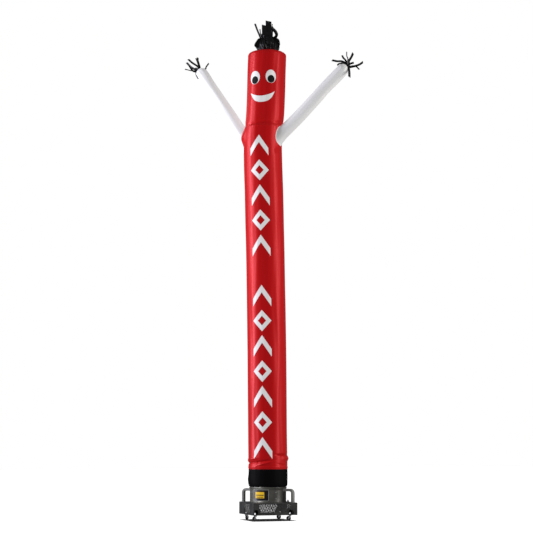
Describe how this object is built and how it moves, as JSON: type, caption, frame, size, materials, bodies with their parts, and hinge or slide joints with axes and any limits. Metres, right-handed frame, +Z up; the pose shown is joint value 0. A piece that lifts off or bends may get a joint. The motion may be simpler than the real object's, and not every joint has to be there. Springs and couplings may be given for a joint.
{
  "type": "inflatable air dancer on a blower",
  "caption": "Tall inflatable tube figure with a smiling face, two raised arms and streamers, standing on its wheeled round blower.",
  "frame": {"origin": "on the floor under the middle of the whole figure's outline, which is the middle of the blower within 20 mm", "axes": "+Z up along the inflated tube, -Y towards the blower's front, +X to its right side"},
  "size_m": [1.7301, 1.6654, 6.0002],
  "materials": {
    "red_nylon": "thin coated nylon, slightly glossy",
    "white_nylon": "thin coated nylon, slightly glossy",
    "black_nylon": "thin coated nylon, slightly glossy",
    "hammered_steel": "hammered grey paint",
    "expanded_mesh": "grey painted fine mesh",
    "handle_tube": "satin grey paint",
    "zinc": "zinc plated",
    "rubber": "matt",
    "dark_plate": "matt",
    "yellow_film": "printed film"
  },
  "bodies": {
    "dancer_and_blower": {"arm_left": "white_nylon", "arm_right": "white_nylon", "base": "hammered_steel", "bolt_1_1": "zinc", "bolt_1_2": "zinc", "bolt_2_1": "zinc", "bolt_2_2": "zinc", "bolt_3_1": "zinc", "bolt_3_2": "zinc", "bolt_4_1": "zinc", "bolt_4_2": "zinc", "cord_gland": "rubber", "drum": "hammered_steel", "eye_left": "white_nylon", "eye_right": "white_nylon", "hair": "black_nylon", "handle_left": "handle_tube", "handle_right": "handle_tube", "head": "red_nylon", "head_cap": "red_nylon", "label_frame": "handle_tube", "label_patch": "yellow_film", "label_plate": "dark_plate", "mesh_back": "expanded_mesh", "mesh_front": "expanded_mesh", "mesh_left": "expanded_mesh", "mesh_right": "expanded_mesh", "motif_01": "white_nylon", "motif_02": "white_nylon", "motif_03": "white_nylon", "motif_04": "white_nylon", "motif_05": "white_nylon", "motif_06": "white_nylon", "motif_07": "white_nylon", "motif_08": "white_nylon", "motif_09": "white_nylon", "motif_10": "white_nylon", "motif_11": "white_nylon", "motif_12": "white_nylon", "plate_back_left": "zinc", "plate_back_right": "zinc", "plate_front_left": "zinc", "plate_front_right": "zinc", "pupil_left": "black_nylon", "pupil_right": "black_nylon", "sleeve": "black_nylon", "smile": "white_nylon", "streamers_left": "black_nylon", "streamers_right": "black_nylon", "torso": "red_nylon"},
    "swivel_front_left": {"fork_front_left": "zinc"},
    "rolling_front_left": {"wheel_front_left": "rubber"},
    "swivel_front_right": {"fork_front_right": "zinc"},
    "rolling_front_right": {"wheel_front_right": "rubber"},
    "swivel_back_left": {"fork_back_left": "zinc"},
    "rolling_back_left": {"wheel_back_left": "rubber"},
    "swivel_back_right": {"fork_back_right": "zinc"},
    "rolling_back_right": {"wheel_back_right": "rubber"}
  },
  "joints": [
    {"name": "swivel_front_left", "type": "hinge", "parent": "dancer_and_blower", "child": "swivel_front_left", "pos_m": [-0.212, -0.175, 0.0639], "axis": [0, 0, 1], "continuous": true},
    {"name": "roll_front_left", "type": "hinge", "parent": "swivel_front_left", "child": "rolling_front_left", "pos_m": [-0.22831, -0.18261, 0.02746], "axis": [0.4226, -0.9063, 0], "continuous": true},
    {"name": "swivel_front_right", "type": "hinge", "parent": "dancer_and_blower", "child": "swivel_front_right", "pos_m": [0.212, -0.175, 0.0639], "axis": [0, 0, 1], "continuous": true},
    {"name": "roll_front_right", "type": "hinge", "parent": "swivel_front_right", "child": "rolling_front_right", "pos_m": [0.19461, -0.17034, 0.02746], "axis": [-0.2588, -0.9659, 0], "continuous": true},
    {"name": "swivel_back_left", "type": "hinge", "parent": "dancer_and_blower", "child": "swivel_back_left", "pos_m": [-0.212, 0.175, 0.0639], "axis": [0, 0, 1], "continuous": true},
    {"name": "roll_back_left", "type": "hinge", "parent": "swivel_back_left", "child": "rolling_back_left", "pos_m": [-0.19821, 0.18657, 0.02746], "axis": [-0.6428, 0.766, 0], "continuous": true},
    {"name": "swivel_back_right", "type": "hinge", "parent": "dancer_and_blower", "child": "swivel_back_right", "pos_m": [0.212, 0.175, 0.0639], "axis": [0, 0, 1], "continuous": true},
    {"name": "roll_back_right", "type": "hinge", "parent": "swivel_back_right", "child": "rolling_back_right", "pos_m": [0.19439, 0.17874, 0.02746], "axis": [-0.2079, -0.9781, 0], "continuous": true}
  ]
}
